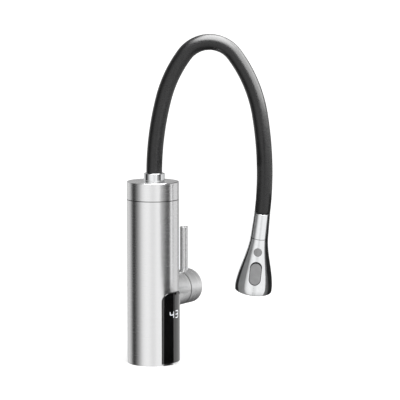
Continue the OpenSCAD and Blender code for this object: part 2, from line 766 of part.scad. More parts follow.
module head_core() color("gray") at_head() difference() {
    bell_solid(bell_wall + fit, core_z, core_end);
    translate([0, 0, core_z - over]) cylinder(r = barb_bore, h = core_end);
    pause_hole(pause_d / 2 + pause_lip + play, pause_seat);
    pause_hole(pause_stem_r + run, pause_seat + 2.5);
    on_bell(rocker_z)
        stadium_bar(rocker_l + 2 * rocker_gap, rocker_w + 2 * rocker_gap, pocket_depth, bell_wall);
    on_bell(rocker_z) translate([-pin_depth - block_l / 2, -block_w / 2 - play, -block_l / 2 - over])
        cube([pin_depth + block_l / 2, block_w + 2 * play, block_l + 2 * over]);
    at_pin() rotate([90, 0, 0]) cylinder(r = pin_r + 0.02, h = 2 * bell_rim_r, center = true);
    at_pin() translate([-arm_l, 0, spool_z - pin_z - 2]) cylinder(r = spool_r + run, h = core_end);
    at_pin() translate([-arm_l - 2, -arm_w / 2 - play, -arm_t])
        cube([arm_l + 2, arm_w + 2 * play, 2 * arm_t]);
}

// The pin that the rocker tilts about: a straight line across the head, under the middle of the rocker
module at_pin() translate([pin_x, 0, pin_z]) children();
module tilted() at_pin() rotate([0, rocker_tilt, 0]) translate([-pin_x, 0, -pin_z]) children();

// The rocker's upper end is pressed in, so it is drawn tilted about its pin
module mode_rocker() color("darkgray") at_head() difference() {
    tilted() {
        intersection() {
            bell_solid(-button_proud, bell_z, flare_end);
            on_bell(rocker_z) stadium_bar(rocker_l, rocker_w, rocker_t, bell_wall);
        }
        on_bell(rocker_z) translate([-pin_depth - block_l / 2 + 0.6, -block_w / 2, -block_l / 2])
            cube([pin_depth + block_l / 2 - rocker_t, block_w, block_l]);
        at_pin() translate([-arm_l - 1, -arm_w / 2, -arm_t / 2]) cube([arm_l, arm_w, arm_t]);
    }
    at_pin() rotate([90, 0, 0]) cylinder(r = pin_r + run, h = 2 * rocker_w, center = true);
}

module rocker_pin() color("silver") at_head() at_pin() rotate([90, 0, 0])
    cylinder(r = pin_r, h = pin_l, center = true);

module diverter_spool() color("ivory") at_head() at_pin() difference() {
    translate([-arm_l, 0, spool_z - pin_z]) cylinder(r = spool_r, h = core_end - spool_z - 2);
    translate([-arm_l - 1 - play, -spool_r - over, (arm_l - 1) * sin(rocker_tilt) - arm_t / 2 - play])
        cube([2 * spool_r, 2 * (spool_r + over), arm_t + 2 * play]);
}

module pause_button() color("darkgray") at_head() {
    intersection() {
        bell_solid(-button_proud, bell_z, flare_end);
        on_bell(pause_z) along_x() translate([0, 0, -pause_cap])
            cylinder(r = pause_d / 2, h = pause_cap + over);
    }
    on_bell(pause_z) along_x() {
        translate([0, 0, -pause_cap - pause_lip_t]) cylinder(r = pause_d / 2 + pause_lip, h = pause_lip_t);
        translate([0, 0, -pause_seat - 0.5]) cylinder(r = pause_stem_r, h = pause_seat - pause_lip_t);
    }
}

// A coil of round wire between the seat in the core and the button's lip
module button_spring() color("silver") at_head() on_bell(pause_z) along_x() translate([0, 0, -pause_seat]) {
    mid = spring_r - spring_wire / 2;
    rise = (pause_seat - pause_cap - pause_lip_t - spring_wire) / (spring_turns * spring_steps);
    last = spring_turns * spring_steps;
    points = [for (i = [0:last], k = [0:spring_sides - 1])
        let (a = 360 * i / spring_steps, b = 360 * k / spring_sides, r = mid + spring_wire / 2 * cos(b))
            [r * cos(a), r * sin(a), spring_wire / 2 * (1 + sin(b)) + i * rise]];
    sides = [for (i = [0:last - 1]) each band((i + 1) * spring_sides, i * spring_sides, spring_sides)];
    first_end = [[for (k = [spring_sides - 1:-1:0]) k]];
    last_end = [[for (k = [0:spring_sides - 1]) last * spring_sides + k]];
    polyhedron(points, concat(sides, first_end, last_end));
}

module nozzles(r, h) for (ring = NOZZLE_RINGS, k = [0:ring[1] - 1])
    rotate([0, 0, 360 * k / ring[1]]) translate([ring[0], 0, 0]) cylinder(r = r, h = h, $fn = 16);

module nozzle_mat() color("dimgray") at_head() translate([0, 0, plate_z - mat_t]) difference() {
    union() {
        tube(bell_rim_r - bell_wall - 0.6, aerator_r + fit, mat_t);
        nozzles(nozzle_r, mat_t + plate_t + 0.8);
    }
    translate([0, 0, -over]) nozzles(nozzle_bore, mat_t + plate_t + 3);
}

module spray_plate() color("silver") at_head() translate([0, 0, plate_z]) difference() {
    cylinder(r = bell_rim_r - bell_wall - fit, h = plate_t);
    translate([0, 0, -over]) cylinder(r = aerator_r + fit, h = plate_t + 2 * over);
    translate([0, 0, -over]) nozzles(nozzle_r + run, plate_t + 2 * over);
}

module aerator() color("gray") at_head() translate([0, 0, core_end]) difference() {
    cylinder(r = aerator_r, h = head_l - core_end - 1);
    for (k = [0:5]) rotate([0, 0, 60 * k]) translate([3.8, 0, -over]) cylinder(r = 1.5, h = 10);
    translate([0, 0, -over]) cylinder(r = 1.5, h = 10);
}

base_plate();
base_gasket();
base_screws();
inlet_socket();
cord_grommet();
chassis();
outer_shell();
flow_sensor_body();
flow_float();
reed_switch();
riser_pipe();
valve_body();
cartridge_seal();
fixed_disc();
moving_disc();
cartridge_body();
cartridge_nut();
spindle();
valve_housing();
lever_hub();
lever_rod();
grub_screw();
crossover_pipe();
tank_shell();
heating_element();
tank_seal();
tank_lid();
tank_screws();
temperature_probe();
thermal_cutout();
control_board();
power_relay();
terminal_block();
display_frame();
display_board();
led_display();
display_panel();
joining_ring();
seam_seal();
top_cap();
outlet_nipple();
swivel_clip();
collar_nut();
spout_fitting();
swivel_seals();
hose_sleeve();
hose_core();
hose_liner();
hose_end_fitting();
head_neck();
head_shell();
head_core();
mode_rocker();
rocker_pin();
diverter_spool();
pause_button();
button_spring();
nozzle_mat();
spray_plate();
aerator();
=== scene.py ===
"""Studio picture of an electric heating kitchen faucet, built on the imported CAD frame.

All sizes are in metres.
"""

from math import atan, ceil, cos, pi, radians, sin, sqrt

import bmesh
import bpy
from mathutils import Matrix, Vector

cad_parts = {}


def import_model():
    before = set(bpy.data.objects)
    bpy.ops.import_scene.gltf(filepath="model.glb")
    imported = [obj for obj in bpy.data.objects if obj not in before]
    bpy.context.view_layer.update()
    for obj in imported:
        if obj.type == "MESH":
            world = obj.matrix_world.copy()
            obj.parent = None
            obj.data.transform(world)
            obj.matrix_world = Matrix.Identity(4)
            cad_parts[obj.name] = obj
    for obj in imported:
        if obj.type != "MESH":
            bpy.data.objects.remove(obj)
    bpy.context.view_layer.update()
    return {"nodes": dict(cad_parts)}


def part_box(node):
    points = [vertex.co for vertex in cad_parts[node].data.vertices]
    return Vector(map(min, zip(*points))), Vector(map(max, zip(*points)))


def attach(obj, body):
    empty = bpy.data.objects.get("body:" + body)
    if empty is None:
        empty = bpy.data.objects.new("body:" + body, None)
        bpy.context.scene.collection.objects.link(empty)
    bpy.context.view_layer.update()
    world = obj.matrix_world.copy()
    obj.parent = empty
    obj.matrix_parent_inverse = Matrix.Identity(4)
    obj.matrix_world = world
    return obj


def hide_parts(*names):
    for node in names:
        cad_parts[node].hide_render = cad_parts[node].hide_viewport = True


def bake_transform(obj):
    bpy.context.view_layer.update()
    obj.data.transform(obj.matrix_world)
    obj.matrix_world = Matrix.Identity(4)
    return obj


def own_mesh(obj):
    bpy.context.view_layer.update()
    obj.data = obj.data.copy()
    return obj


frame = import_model()
MM = 0.001


# Sizes: from the frame where a node's box gives them, and else repeated from the CAD or chosen here


def size(node, axis):
    low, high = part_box(node)
    return high[axis] - low[axis]


COLUMN_R = size("outer_shell", 0) / 2
LENS_LOW, LENS_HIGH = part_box("display_panel")
LENS_R = -LENS_LOW[1]
SHELL_WALL = 1.2 * MM
LENS_BACK_R = COLUMN_R - SHELL_WALL
LENS_CORNER = 10 * MM
LENS_EDGE = 0.5 * MM

# The joint between the valve's barrel and its turning end: its place along x, and half the gap's width,
# over which shade is painted into the steel
VALVE_JOINT = (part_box("valve_housing")[1][0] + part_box("lever_hub")[0][0]) / 2
JOINT_REACH = 0.55 * MM

# The hose: a skin over a coil over a water tube, with a small gap between them
HOSE_R = 9.15 * MM
SKIN_WALL = 1.6 * MM
COIL_WALL = 1.8 * MM
BORE_WALL = 1.5 * MM
TUBE_GAP = 0.1 * MM
SKIN_SIDES = 56
INNER_SIDES = 32
HOSE_START = Vector((0, -2 * MM, 216.3 * MM))
HOSE_TURN = radians(-56)
RISER = 3.2 * MM

# The largest turn and the largest length between two rings of the hose
RING_TURN = radians(2)
RING_REACH = 3 * MM

# The hose's bends, as in the CAD: radius in millimetres, bend and direction in degrees
BENDS = [(350, 14.4, 0), (144, 22.2, 0), (35.5, 106.5, 0), (158, 27.3, 0), (353, 18.8, 33.75)]
HEAD_ROLL = radians(-88)

# The spray head, along its own axis from the hose's end
NECK_L = 30.2 * MM
NECK_TOP_R = 9.35 * MM
NECK_END_R = 10.45 * MM
NECK_BORE_R = 7.2 * MM
NECK_LIP = 0.4 * MM
NECK_EDGE = 0.15 * MM
HEAD_L = 96 * MM
TURN_GAP = 0.4 * MM
BELL_Z = NECK_L + TURN_GAP
RIM_BAND = 6 * MM
FLARE_END = HEAD_L - RIM_BAND
BELL_R = 21.7 * MM
# The share of the bell's outline that is a smooth curve; the rest is a straight cone
BELL_CURVE = 0.7
BELL_WALL = 2 * MM
BELL_RIM = 2 * MM
BELL_BORE_R = 7 * MM
PAUSE_Z = 45 * MM
PAUSE_R = 4.55 * MM
PAUSE_GAP = 0.3 * MM
PAUSE_T = 3.3 * MM
ROCKER_Z = 69.3 * MM
ROCKER_L = 26.5 * MM
ROCKER_W = 12.7 * MM
ROCKER_T = 2.5 * MM
ROCKER_GAP = 0.6 * MM
# The rocker's upper end is cut back by this much, where the photo shows a dark gap
ROCKER_TRIM = 1.8 * MM
ROCKER_TILT = radians(4)
PIN_DEPTH = 5.6 * MM
# The stretch of the bell that holds both openings
OPENINGS_LOW = PAUSE_Z - 6 * MM
OPENINGS_HIGH = ROCKER_Z + 16 * MM
KEY_PROUD = 0.3 * MM
KEY_DEPTH = 6 * MM
KEY_EDGE = 0.35 * MM


# Mesh helpers


def new_object(name, verts, faces):
    mesh = bpy.data.meshes.new(name)
    mesh.from_pydata([tuple(v) for v in verts], [], faces)
    mesh.update()
    obj = bpy.data.objects.new(name, mesh)
    bpy.context.scene.collection.objects.link(obj)
    for polygon in mesh.polygons:
        polygon.use_smooth = True
    return obj


def rings_to_mesh(name, rings, close_ends=False):
    """A closed band of quads through rings of the same number of points."""
    count = len(rings[0])
    verts = [p for ring in rings for p in ring]
    faces = []
    for i in range(len(rings) - 1):
        for k in range(count):
            n = (k + 1) % count
            faces.append((i * count + k, i * count + n, (i + 1) * count + n, (i + 1) * count + k))
    if close_ends:
        faces.append(tuple(reversed(range(count))))
        faces.append(tuple(range(len(verts) - count, len(verts))))
    return new_object(name, verts, faces)


def lathe(name, profile, place, steps):
    """A surface of revolution: profile is a closed loop of (radius, height), place a matrix."""
    rings = []
    for k in range(steps):
        turn = 2 * pi * k / steps
        rings.append([place @ Vector((r * cos(turn), r * sin(turn), z)) for r, z in profile])
    count = len(profile)
    verts = [p for ring in rings for p in ring]
    faces = []
    for i in range(steps):
        j = (i + 1) % steps
        for k in range(count):
            n = (k + 1) % count
            faces.append((i * count + k, j * count + k, j * count + n, i * count + n))
    return new_object(name, verts, faces)


def cut(obj, cutter, operation="DIFFERENCE"):
    """Applies an exact boolean and removes the cutter."""
    modifier = obj.modifiers.new("cut", "BOOLEAN")
    modifier.operation = operation
    modifier.solver = "EXACT"
    modifier.object = cutter
    apply_modifiers(obj)
    bpy.data.objects.remove(cutter, do_unlink=True)
    return obj


def apply_modifiers(obj):
    bpy.context.view_layer.update()
    graph = bpy.context.evaluated_depsgraph_get()
    mesh = bpy.data.meshes.new_from_object(obj.evaluated_get(graph))
    obj.modifiers.clear()
    obj.data = mesh
    return obj


def bevel(obj, width, angle):
    """Rounds every edge that is sharper than the angle."""
    modifier = obj.modifiers.new("soft edge", "BEVEL")
    modifier.width = width
    modifier.segments = 3
    modifier.limit_method = "ANGLE"
    modifier.angle_limit = radians(angle)
    modifier.harden_normals = False
    return apply_modifiers(obj)


def shade(obj, normal_at, limit):
    """Gives faces that follow the formula's surface its true normals, and leaves the other faces flat."""
    mesh = obj.data
    normals = [Vector((0, 0, 0))] * len(mesh.loops)
    for polygon in mesh.polygons:
        polygon.use_smooth = True
        follows = normal_at(polygon.center).dot(polygon.normal) > limit
        for loop in polygon.loop_indices:
            point = mesh.vertices[mesh.loops[loop].vertex_index].co
            normals[loop] = normal_at(point) if follows else polygon.normal.copy()
    mesh.normals_split_custom_set([tuple(n) for n in normals])
    return obj


def shade_by_angle(obj, angle):
    """Smooth, with a hard edge wherever two faces meet at more than the angle."""
    mesh = bmesh.new()
    mesh.from_mesh(obj.data)
    for edge in mesh.edges:
        edge.smooth = len(edge.link_faces) == 2 and edge.calc_face_angle(0) < radians(angle)
    for face in mesh.faces:
        face.smooth = True
    mesh.to_mesh(obj.data)
    mesh.free()
    return obj


def merge_points(obj):
    """Joins points that lie on each other, and turns all faces outwards."""
    mesh = bmesh.new()
    mesh.from_mesh(obj.data)
    bmesh.ops.remove_doubles(mesh, verts=mesh.verts, dist=1e-7)
    bmesh.ops.recalc_face_normals(mesh, faces=mesh.faces)
    mesh.to_mesh(obj.data)
    mesh.free()
    return obj


# Materials


# A mix node's colour sockets, which share their names with its number sockets
MIX_FIRST = 6
MIX_SECOND = 7
MIX_RESULT = 2
STEEL_COLOR = (0.86, 0.86, 0.865)
STEEL_ROUGHNESS = 0.25


class Nodes:
    """A material with a Principled shader, and short calls for the nodes that feed it."""

    def __init__(self, name, color, metallic, roughness, **sockets):
        self.material = bpy.data.materials.new(name)
        self.material.use_nodes = True
        self.tree = self.material.node_tree
        self.tree.nodes.clear()
        self.shader = self.add("ShaderNodeBsdfPrincipled")
        output = self.add("ShaderNodeOutputMaterial")
        self.link(self.shader.outputs[0], output.inputs["Surface"])
        self.set(self.shader, {"Base Color": (*color, 1), "Metallic": metallic, "Roughness": roughness})
        self.set(self.shader, {key.replace("_", " "): value for key, value in sockets.items()})

    def add(self, kind, **values):
        node = self.tree.nodes.new(kind)
        for key, value in values.items():
            setattr(node, key, value)
        return node

    def set(self, node, values):
        for key, value in values.items():
            node.inputs[key].default_value = value

    def link(self, source, target):
        self.tree.links.new(source, target)

    def noise(self, stretch, detail=3):
        """Noise in the object's own metres, squeezed by stretch along each axis."""
        place = self.add("ShaderNodeTexCoord")
        mapping = self.add("ShaderNodeMapping")
        self.set(mapping, {"Scale": stretch})
        noise = self.add("ShaderNodeTexNoise")
        self.set(noise, {"Scale": 1, "Detail": detail, "Roughness": 0.55})
        self.link(place.outputs["Object"], mapping.inputs["Vector"])
        self.link(mapping.outputs[0], noise.inputs["Vector"])
        return noise.outputs["Fac"]

    def spread(self, source, low, high, start=0.3, end=0.7):
        """Maps a value from start..end to low..high, and holds it there beyond both ends."""
        node = self.add("ShaderNodeMapRange")
        self.set(node, {"From Min": start, "From Max": end, "To Min": low, "To Max": high})
        self.link(source, node.inputs["Value"])
        return node.outputs[0]

    def tint(self, source, dark, light):
        """Blends two colours by a 0 to 1 value, and feeds the base colour."""
        node = self.add("ShaderNodeMix", data_type="RGBA")
        node.inputs[MIX_FIRST].default_value = (*dark, 1)
        node.inputs[MIX_SECOND].default_value = (*light, 1)
        self.link(source, node.inputs["Factor"])
        self.link(node.outputs[MIX_RESULT], self.shader.inputs["Base Color"])
        return node.outputs[MIX_RESULT]

    def paint_gap_shade(self, color, place, reach):
        """Paints shade into the colour: black where a joint's gap lies, within reach of the plane at place
        along x, as the gap's shadow.
        """
        spot = self.add("ShaderNodeTexCoord")
        along = self.add("ShaderNodeSeparateXYZ")
        self.link(spot.outputs["Object"], along.inputs[0])
        off = self.add("ShaderNodeMath", operation="SUBTRACT")
        off.inputs[1].default_value = place
        self.link(along.outputs["X"], off.inputs[0])
        gap = self.add("ShaderNodeMath", operation="ABSOLUTE")
        self.link(off.outputs[0], gap.inputs[0])
        clear = self.spread(gap.outputs[0], 0, 1, reach, 1.3 * reach)
        node = self.add("ShaderNodeMix", data_type="RGBA")
        node.inputs[MIX_FIRST].default_value = (0.01, 0.01, 0.01, 1)
        self.link(color, node.inputs[MIX_SECOND])
        self.link(clear, node.inputs["Factor"])
        self.link(node.outputs[MIX_RESULT], self.shader.inputs["Base Color"])

    def rough(self, source, low, high):
        self.link(self.spread(source, low, high), self.shader.inputs["Roughness"])

    def bump(self, source, strength, distance):
        node = self.add("ShaderNodeBump")
        self.set(node, {"Strength": strength, "Distance": distance})
        self.link(source, node.inputs["Height"])
        self.link(node.outputs[0], self.shader.inputs["Normal"])


def brushed_steel(name, axis, joint=None):
    """Steel brushed round the given axis: fine lines that run round the piece, and a stretched gloss."""
    metal = Nodes(name, STEEL_COLOR, 1.0, STEEL_ROUGHNESS, Anisotropic=0.5, Anisotropic_Rotation=0.25)
    tangent = metal.add("ShaderNodeTangent", direction_type="RADIAL", axis=axis)
    metal.link(tangent.outputs[0], metal.shader.inputs["Tangent"])
    fine = {"X": (9000, 60, 60), "Z": (60, 60, 9000)}[axis]
    broad = {"X": (2200, 40, 40), "Z": (40, 40, 2200)}[axis]
    grain = metal.noise(fine, detail=4)
    cloud = metal.noise(broad)
    darker = tuple(0.96 * c for c in STEEL_COLOR)
    tone = metal.tint(metal.spread(cloud, 0, 1), darker, STEEL_COLOR)
    # Painted shade: the steel turns black along the joint's gap
    if joint:
        metal.paint_gap_shade(tone, joint, JOINT_REACH)
    metal.rough(cloud, STEEL_ROUGHNESS - 0.03, STEEL_ROUGHNESS + 0.03)
    metal.bump(grain, 0.03, 0.02 * MM)
    return metal.material


def chrome():
    metal = Nodes("polished_chrome", (0.86, 0.87, 0.88), 1.0, 0.04)
    haze = metal.noise((300, 300, 300), detail=2)
    metal.tint(metal.spread(haze, 0, 1), (0.84, 0.85, 0.86), (0.88, 0.89, 0.9))
    metal.rough(haze, 0.02, 0.06)
    return metal.material


def plain_metal(name, dark, light, roughness):
    metal = Nodes(name, light, 1.0, roughness)
    cloud = metal.noise((400, 400, 400))
    metal.tint(metal.spread(cloud, 0, 1), dark, light)
    metal.rough(cloud, roughness - 0.07, roughness + 0.07)
    metal.bump(cloud, 0.05, 0.03 * MM)
    return metal.material


def moulded(name, dark, light, roughness, grain=1500, depth=0.12):
    """Plastic or rubber with a fine grain and a slight change of tone."""
    plastic = Nodes(name, light, 0.0, roughness)
    cloud = plastic.noise((180, 180, 180), detail=2)
    fine = plastic.noise((grain, grain, grain), detail=4)
    plastic.tint(plastic.spread(cloud, 0, 1), dark, light)
    plastic.rough(fine, roughness - 0.05, roughness + 0.05)
    plastic.bump(fine, depth, 0.04 * MM)
    return plastic.material


def lens_glass():
    lens = Nodes("black_lens", (0.003, 0.003, 0.003), 0.0, 0.06, IOR=1.8)
    cloud = lens.noise((120, 120, 120), detail=2)
    lens.tint(lens.spread(cloud, 0, 1), (0.002, 0.002, 0.002), (0.004, 0.004, 0.0045))
    lens.rough(cloud, 0.04, 0.09)
    return lens.material


def lit_digit():
    glow = Nodes("lit_digit", (0.9, 0.92, 0.95), 0.0, 0.4)
    dots = glow.noise((900, 900, 900), detail=1)
    glow.tint(glow.spread(dots, 0, 1), (0.86, 0.88, 0.92), (0.95, 0.96, 1.0))
    glow.shader.inputs["Emission Color"].default_value = (0.9, 0.95, 1.0, 1)
    glow.shader.inputs["Emission Strength"].default_value = 0.5
    return glow.material


def wear(obj, material):
    obj.data.materials.clear()
    obj.data.materials.append(material)
    return obj


def paint_nodes(material, *names):
    for name in names:
        node = frame["nodes"][name]
        if node.material_slots:
            for material_slot in node.material_slots:
                material_slot.material = material
        else:
            node.data.materials.append(material)


# The hose's route, in the same bends as the CAD


class Station:
    """A place on the hose, with the directions of its own frame: z runs along the hose."""

    def __init__(self, place, x, y, z):
        self.place, self.x, self.y, self.z = place, x, y, z

    def bent(self, radius, angle, toward):
        """The place after a bend, toward a direction counted from the local x."""
        side = cos(toward) * self.x + sin(toward) * self.y
        turn = Matrix.Rotation(angle, 3, self.z.cross(side))
        place = self.place + radius * ((1 - cos(angle)) * side + sin(angle) * self.z)
        return Station(place, turn @ self.x, turn @ self.y, turn @ self.z)

    def matrix(self):
        columns = Matrix((self.x, self.y, self.z)).transposed().to_4x4()
        return Matrix.Translation(self.place) @ columns

    def ring(self, radius, sides):
        turns = (2 * pi * k / sides for k in range(sides))
        return [self.place + radius * (cos(t) * self.x + sin(t) * self.y) for t in turns]


def hose_route():
    turn = Matrix.Rotation(HOSE_TURN, 3, "Z")
    x, y, z = (turn @ Vector(v) for v in ((1, 0, 0), (0, 1, 0), (0, 0, 1)))
    stations = [Station(HOSE_START, x, y, z), Station(HOSE_START + RISER * z, x, y, z)]
    for radius, angle, toward in BENDS:
        start, radius, angle = stations[-1], radius * MM, radians(angle)
        count = ceil(max(angle / RING_TURN, radius * angle / RING_REACH))
        stations += [start.bent(radius, angle * k / count, radians(toward)) for k in range(1, count + 1)]
    return stations


ROUTE = hose_route()
HEAD = ROUTE[-1].matrix() @ Matrix.Rotation(HEAD_ROLL, 4, "Z")


def hollow_tube(name, node, radius, wall, sides, material):
    """A tube along the hose's route, which stands for the CAD's node and hides it."""
    rings = [station.ring(radius, sides) for station in ROUTE]
    rings += [station.ring(radius - wall, sides) for station in reversed(ROUTE)]
    # Back to the first ring, which closes the tube's lower end
    rings.append(rings[0])
    tube = rings_to_mesh(name, rings)
    merge_points(tube)
    wear(tube, material)
    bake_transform(tube)
    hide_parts(node)
    return tube


# The spray head


def smooth_step(u):
    return u * u * (3 - 2 * u)


def bell_at(z):
    u = min(1, max(0, (z - NECK_L) / (FLARE_END - NECK_L)))
    flare = BELL_CURVE * smooth_step(u) + (1 - BELL_CURVE) * u
    return NECK_END_R + (BELL_R - NECK_END_R) * flare


def bell_slope(z):
    return atan((bell_at(z + 0.5 * MM) - bell_at(z - 0.5 * MM)) / MM)


def bell_normal(point):
    """The bell's outward normal at a place in the frame's axes, from its outline."""
    local = HEAD.inverted() @ point
    flat = Vector((local.x, local.y, 0))
    if flat.length < 1e-6:
        return (HEAD.to_3x3() @ Vector((0, 0, 1))).normalized()
    slope = bell_slope(local.z) if local.z < FLARE_END else 0
    normal = flat.normalized() * cos(slope) - Vector((0, 0, sin(slope)))
    if local.z > HEAD_L - BELL_RIM:
        centre = flat.normalized() * (BELL_R - BELL_RIM) + Vector((0, 0, HEAD_L - BELL_RIM))
        normal = (local - centre).normalized()
    return (HEAD.to_3x3() @ normal).normalized()


def on_bell(z):
    """The place on the bell's front at height z, with its local x square to the surface."""
    place = Matrix.Translation(Vector((bell_at(z), 0, z)))
    return HEAD @ place @ Matrix.Rotation(bell_slope(z), 4, "Y")


def prism(name, outline, place, low, high):
    """An outline in the local y and z, drawn out along the local x."""
    rings = [[place @ Vector((x, y, z)) for y, z in outline] for x in (low, high)]
    obj = rings_to_mesh(name, rings, close_ends=True)
    return merge_points(obj)


def circle(radius, count):
    return [(radius * cos(2 * pi * k / count), radius * sin(2 * pi * k / count)) for k in range(count)]


def stadium(length, width):
    """An oval with half-round ends, its length along the second axis."""
    arc, radius = 28, width / 2
    points = []
    for end in (1, -1):
        for k in range(arc + 1):
            turn = pi * k / arc
            points.append((end * radius * cos(turn), end * ((length - width) / 2 + radius * sin(turn))))
    return points


def bell():
    """The bell: a shell with a round rim, and openings for its two keys."""
    steps, rim_steps = 72, 8
    outer = [BELL_Z + (FLARE_END - BELL_Z) * k / steps for k in range(steps + 1)]
    profile = [(bell_at(z), z) for z in outer]
    rim_r, rim_z = BELL_R - BELL_RIM, HEAD_L - BELL_RIM
    for k in range(1, rim_steps + 1):
        turn = pi / 2 * k / rim_steps
        profile.append((rim_r + BELL_RIM * cos(turn), rim_z + BELL_RIM * sin(turn)))
    profile.append((BELL_R - BELL_WALL, HEAD_L))
    inner = [z for z in reversed(outer) if z > BELL_Z + BELL_WALL]
    profile += [(bell_at(z) - BELL_WALL, z) for z in inner]
    profile += [(BELL_BORE_R, inner[-1]), (BELL_BORE_R, BELL_Z)]
    shell = lathe("bell", profile, HEAD, 160)
    merge_points(shell)
    through = 3 * BELL_WALL
    cut(shell, prism("pause_cut", circle(PAUSE_R + PAUSE_GAP, 64), on_bell(PAUSE_Z), -through, through))
    outline = stadium(ROCKER_L + 2 * ROCKER_GAP, ROCKER_W + 2 * ROCKER_GAP)
    cut(shell, prism("rocker_cut", outline, on_bell(ROCKER_Z), -through, through))
    return shade(shell, bell_normal, limit=0.94)


def paint_shade_in_openings(shell, material):
    """Paints shade in the gaps round the two keys: the walls of their openings get the dark plastic
    instead of the bell's chrome.
    """
    shell.data.materials.append(material)
    for polygon in shell.data.polygons:
        place = HEAD.inverted() @ polygon.center
        beside_keys = OPENINGS_LOW < place.z < OPENINGS_HIGH and place.x > 0
        if beside_keys and abs(bell_normal(polygon.center).dot(polygon.normal)) < 0.5:
            polygon.material_index = 1


def neck():
    """The neck: a slim cone with a round lip at the hose and a small edge at the bell."""
    steps, lip_steps = 10, 6
    profile = [(NECK_BORE_R, 0), (NECK_TOP_R - NECK_LIP, 0)]
    for k in range(1, lip_steps + 1):
        turn = pi / 2 * k / lip_steps
        profile.append((NECK_TOP_R - NECK_LIP + NECK_LIP * sin(turn), NECK_LIP - NECK_LIP * cos(turn)))
    for k in range(1, steps):
        radius = NECK_TOP_R + (NECK_END_R - NECK_TOP_R) * k / steps
        profile.append((radius, NECK_LIP + (NECK_L - NECK_LIP) * k / steps))
    profile += [(NECK_END_R, NECK_L - NECK_EDGE), (NECK_END_R - NECK_EDGE, NECK_L), (NECK_BORE_R, NECK_L)]
    piece = lathe("neck", profile, HEAD, 128)
    merge_points(piece)
    return shade_by_angle(piece, 30)


def head_key(name, outline, z, thickness):
    """A key whose top follows the bell, a little proud of it."""
    steps, length = 40, 1.3 * ROCKER_L
    heights = [z + (k / steps - 0.5) * length for k in range(steps + 1)]
    profile = [(bell_at(h) + KEY_PROUD, h) for h in heights]
    profile += [(bell_at(h) - KEY_DEPTH, h) for h in reversed(heights)]
    piece = merge_points(lathe(name, profile, HEAD, 200))
    over = 4 * MM
    cut(piece, prism(name + "_outline", outline, on_bell(z), -thickness, over), "INTERSECT")
    bevel(piece, KEY_EDGE, 50)
    return shade_by_angle(piece, 35)


def tilt_rocker(obj):
    """Turns the rocker about its pin, so that its upper end is pressed in."""
    lean = bell_slope(ROCKER_Z)
    pin = Vector((bell_at(ROCKER_Z) - PIN_DEPTH * cos(lean), 0, ROCKER_Z + PIN_DEPTH * sin(lean)))
    to_pin = HEAD @ Matrix.Translation(pin)
    obj.data.transform(to_pin @ Matrix.Rotation(ROCKER_TILT, 4, "Y") @ to_pin.inverted())
    return obj


def pressed_spring():
    """The pause button's spring, copied from the CAD's node and carried with the head."""
    node = frame["nodes"]["button_spring"]
    points = [node.matrix_world @ v.co for v in node.data.vertices]
    spring = new_object("pause_spring", points, [tuple(p.vertices) for p in node.data.polygons])
    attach(spring, "head")
    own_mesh(spring)
    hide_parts("button_spring")
    return spring


# The seam between shell and cap, a little higher than the gap so that it reads as one dark line
SEAM_LOW, SEAM_HIGH = (corner[2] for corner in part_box("seam_seal"))
SEAM_PROUD = 0.02 * MM
SEAM_R = COLUMN_R + SEAM_PROUD
SEAM_LIP = 0.12 * MM
SEAM = [
    (COLUMN_R - SHELL_WALL, SEAM_LOW),
    (SEAM_R, SEAM_LOW - SEAM_LIP),
    (SEAM_R, SEAM_HIGH + SEAM_LIP),
    (COLUMN_R - SHELL_WALL, SEAM_HIGH),
]


# The display


def lens():
    """A curved lens with rounded upper corners and a soft edge: two sheets, joined by outlines."""
    low, high = LENS_LOW[2], LENS_HIGH[2]
    half = (LENS_HIGH[0] - LENS_LOW[0]) / 2
    columns, straight_rows, corner_rows, edge_steps = 32, 30, 16, 6
    straight = 0.88
    rows = [straight * k / straight_rows for k in range(straight_rows)]
    rows += [straight + (1 - straight) * sin(pi / 2 * k / corner_rows) for k in range(corner_rows + 1)]

    def point(row, column, inset, radius):
        z = low + inset + (high - low - 2 * inset) * rows[row]
        round_r = LENS_CORNER - inset
        rise = max(0, z - (high - LENS_CORNER))
        x = (half - LENS_CORNER + sqrt(max(0, round_r**2 - rise**2))) * (2 * column / columns - 1)
        return Vector((x, -sqrt(radius**2 - x**2), z))

    def outline(inset, radius):
        last = len(rows) - 1
        keys = [(0, c) for c in range(columns)] + [(r, columns) for r in range(last)]
        keys += [(last, c) for c in range(columns, 0, -1)] + [(r, 0) for r in range(last, 0, -1)]
        return [point(r, c, inset, radius) for r, c in keys]

    loops = [outline(0, LENS_BACK_R)]
    for k in range(edge_steps + 1):
        turn = pi / 2 * k / edge_steps
        loops.append(outline(LENS_EDGE * (1 - cos(turn)), LENS_R - LENS_EDGE + LENS_EDGE * sin(turn)))
    piece = rings_to_mesh("lens", loops)
    mesh = bmesh.new()
    mesh.from_mesh(piece.data)
    for inset, radius in ((LENS_EDGE, LENS_R), (0, LENS_BACK_R)):
        sheet = []
        for r in range(len(rows)):
            sheet.append([mesh.verts.new(point(r, c, inset, radius)) for c in range(columns + 1)])
        for lower, upper in zip(sheet, sheet[1:]):
            for c in range(columns):
                mesh.faces.new((lower[c], lower[c + 1], upper[c + 1], upper[c]))
    mesh.to_mesh(piece.data)
    mesh.free()
    merge_points(piece)
    return shade(piece, lambda at: Vector((at.x, at.y, 0)).normalized(), limit=0.999)


